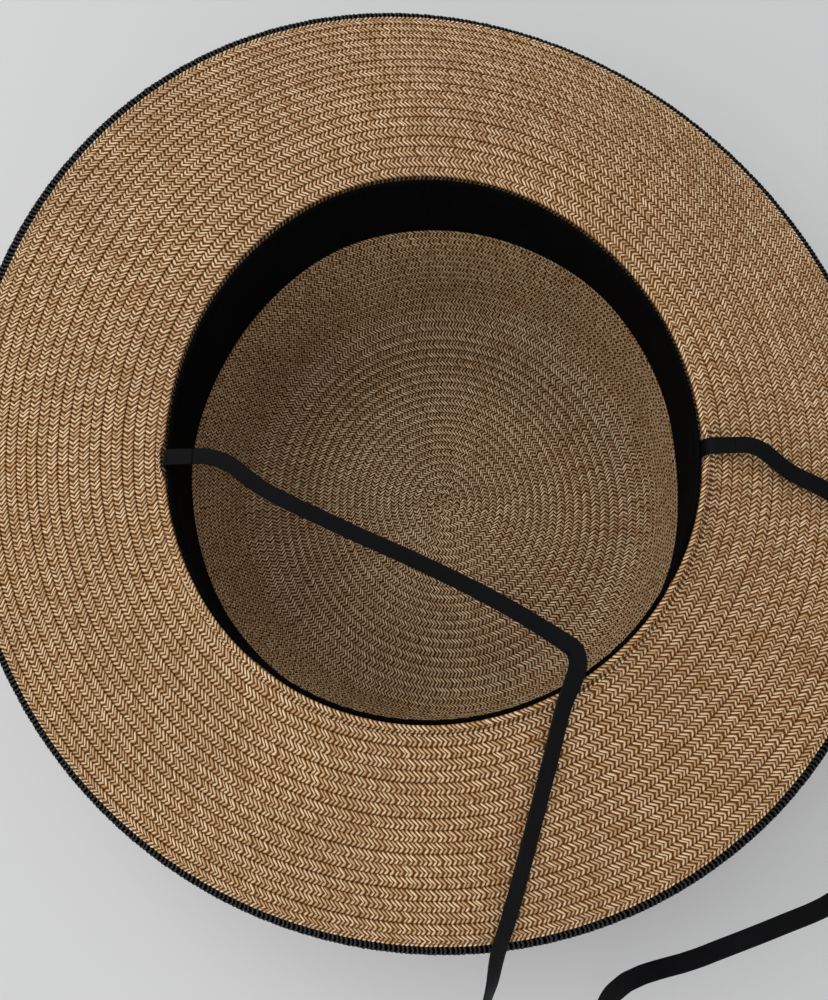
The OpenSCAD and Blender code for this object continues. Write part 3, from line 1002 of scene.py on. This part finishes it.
def tape(pile, middles, across):
    """Ribbed flat tape along a path; across points along its width."""
    steps = np.linalg.norm(np.diff(middles, axis=0), axis=1)
    travel = np.concatenate([[0], np.cumsum(steps)])
    columns = max(8, round(travel[-1] / RIB_PITCH) * 2 + 1)
    wanted = np.linspace(0, travel[-1], columns)

    def resample(values):
        return np.stack([np.interp(wanted, travel, values[:, k]) for k in range(3)], -1)

    def soften(values):
        window = np.array([1, 4, 6, 4, 1]) / 16
        out = values.copy()
        for _ in range(4):
            for k in range(3):
                out[2:-2, k] = np.convolve(out[:, k], window, "valid")
        return out

    path = soften(resample(middles))
    side = soften(resample(across))
    ahead = np.gradient(path, axis=0)
    ahead /= np.linalg.norm(ahead, axis=1, keepdims=True)
    side -= ahead * np.sum(side * ahead, axis=1, keepdims=True)
    side /= np.linalg.norm(side, axis=1, keepdims=True)
    face = np.cross(ahead, side)
    rib = 1 + RIB_DEPTH * np.where(np.arange(columns) % 2 == 0, 1, -1)
    wide, thick = tape_section().T
    grid = (
        path[:, None]
        + side[:, None] * (wide * STRAP_WIDTH)[None, :, None]
        + face[:, None] * (thick * STRAP_THICKNESS)[None, :, None] * rib[:, None, None]
    )
    pile.add(grid, wanted / RIB_PITCH, wide + 0.5, False)


def chin_strap():
    """The free length of strap."""
    pile = Pile()
    tape(pile, *cad_tape_sections())
    return pile.object("chin_strap_tape", TAPE)


def strap_root(name, side, node):
    """Sewn end of the strap: up behind the sweatband, over its edge and out along +X."""
    high = box_mm(node)[1]
    turn = anchor_turn(side)
    drops = np.linspace(18, 2.5, 8)
    leg = crown.at(turn + 0 * drops, crown_share(drops), BAND_GAP / 2 + 0 * drops)
    tip = np.array([high[0], PIVOT[1], PIVOT[2]])
    bend = np.array([leg[-1][0], PIVOT[1], PIVOT[2]])
    t = np.linspace(0, 1, 9)[1:, None]
    shoulder = bend + [3.0, 0, 0]
    curve = (1 - t) ** 2 * leg[-1] + 2 * t * (1 - t) * bend + t ** 2 * shoulder
    arm = shoulder + (tip - shoulder) * np.linspace(0, 1, 6)[1:, None]
    path = np.concatenate([leg, curve, arm])
    pile = Pile()
    tape(pile, path, np.tile([0.0, 1.0, 0.0], (len(path), 1)))
    piece = pile.object(name, TAPE)
    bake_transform(piece)
    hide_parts(node)
    return piece


# ---- Put together -------------------------------------------------------


def dress(piece, slot, *nodes, body="hat"):
    """The piece rides on its body and stands for CAD nodes."""
    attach(piece, body)
    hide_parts(*nodes)


for piece in crown_spiral() + [crown_lip()]:
    dress(piece, "straw_braid", "crown")
for piece in brim_pieces():
    dress(piece, "straw_braid", "brim")
dress(rim_braid(), "black_braid", "rim_braid")
dress(sweatband(), "black_cloth", "sweatband")

rim_seam = LIP + (BRIM_ROWS - 1 + RIM_SEAM * LAST_WIDTH) * brim_pitch
rim_stitches = round(brim.girth(brim_share(NATURAL_WIDTH)) / STITCH_PITCH)


def at_right_anchor(turn):
    """True where the strap lies over the line of stitches."""
    return abs(anchor_gap(turn, 1)) < STRAP_WIDTH


dress(
    stitch_ring(
        "sweatband_topstitch", crown, crown_share(BAND_STITCH_DROP), FACE - 0.22, BAND_STITCHES,
        BLACK_THREAD,
    ),
    "black_thread", "sweatband_stitching",
)
dress(
    stitch_ring(
        "headline_thread", brim, brim_share(HEADLINE_SEAM), -0.24, BAND_STITCHES, STRAW_THREAD,
        skip=at_right_anchor,
    ),
    "straw_thread", "headline_stitching",
)
dress(
    stitch_ring("rim_thread", brim, brim_share(rim_seam), -0.52, rim_stitches, STRAW_THREAD),
    "straw_thread", "rim_stitching",
)
dress(seam_threads(), "black_thread", "sweatband_seam")
dress(tack("strap_tack_left_thread", -1), "black_thread", "strap_tack_left")
dress(tack("strap_tack_right_thread", 1), "black_thread", "strap_tack_right")
dress(chin_strap(), "black_tape", "chin_strap", body="strap")
strap_root("strap_root_left", -1, "strap_end_left")
strap_root("strap_root_right", 1, "strap_end_right")

wire = frame["nodes"]["brim_wire"]
wire.data.materials.clear()
wire.data.materials.append(steel_material())

# ---- Stage --------------------------------------------------------------


FLOOR_RADIUS = 40.0         # metres, out to the horizon of a low view
FLOOR_SIDES = 96
TARGET = (0, 0, 0.05)       # point inside the hat that the lamps face


def add_floor():
    """Table that the crown's tip lies on."""
    turns = [i / FLOOR_SIDES * FULL_TURN for i in range(FLOOR_SIDES)]
    mesh = bpy.data.meshes.new("table")
    corners = [(FLOOR_RADIUS * math.cos(t), FLOOR_RADIUS * math.sin(t), 0) for t in turns]
    mesh.from_pydata(corners, [], [tuple(range(FLOOR_SIDES))])
    mesh.materials.append(floor_material())
    table = bpy.data.objects.new("table", mesh)
    table.location.z = bounds_at_load[0][2]
    bpy.context.scene.collection.objects.link(table)


def add_area(name, place, size, power, colour):
    """Soft square lamp that points at the hat."""
    lamp = bpy.data.lights.new(name, "AREA")
    lamp.shape = "SQUARE"
    lamp.size = size
    lamp.energy = power
    lamp.color = colour
    thing = bpy.data.objects.new(name, lamp)
    thing.location = place
    thing.rotation_euler = (Vector(TARGET) - Vector(place)).to_track_quat("-Z", "Y").to_euler()
    bpy.context.scene.collection.objects.link(thing)


def add_world(strength):
    """Even pale light from all sides."""
    world = bpy.data.worlds.new("studio")
    world.use_nodes = True
    backdrop = world.node_tree.nodes["Background"]
    backdrop.inputs["Color"].default_value = (0.97, 0.985, 1.0, 1)
    backdrop.inputs["Strength"].default_value = strength
    bpy.context.scene.world = world


def add_camera():
    """Camera above the opening, leaning towards the front and a little to the right."""
    camera = bpy.data.cameras.new("camera")
    camera.sensor_width = 36
    camera.lens = 29.78
    thing = bpy.data.objects.new("camera", camera)
    thing.location = (0.01363, -0.08637, 0.35270)
    thing.rotation_euler = (math.radians(14.04), math.radians(3.98), 0)
    bpy.context.scene.collection.objects.link(thing)
    bpy.context.scene.camera = thing


add_floor()
add_world(0.56)
add_area("ceiling", (-0.6, 0.4, 1.3), size=1.6, power=12, colour=(1.0, 0.985, 0.96))
add_area("front_fill", (-0.3, -1.1, 0.9), size=1.4, power=6, colour=(1.0, 0.99, 0.97))
add_camera()
bpy.context.scene.view_settings.view_transform = "Standard"
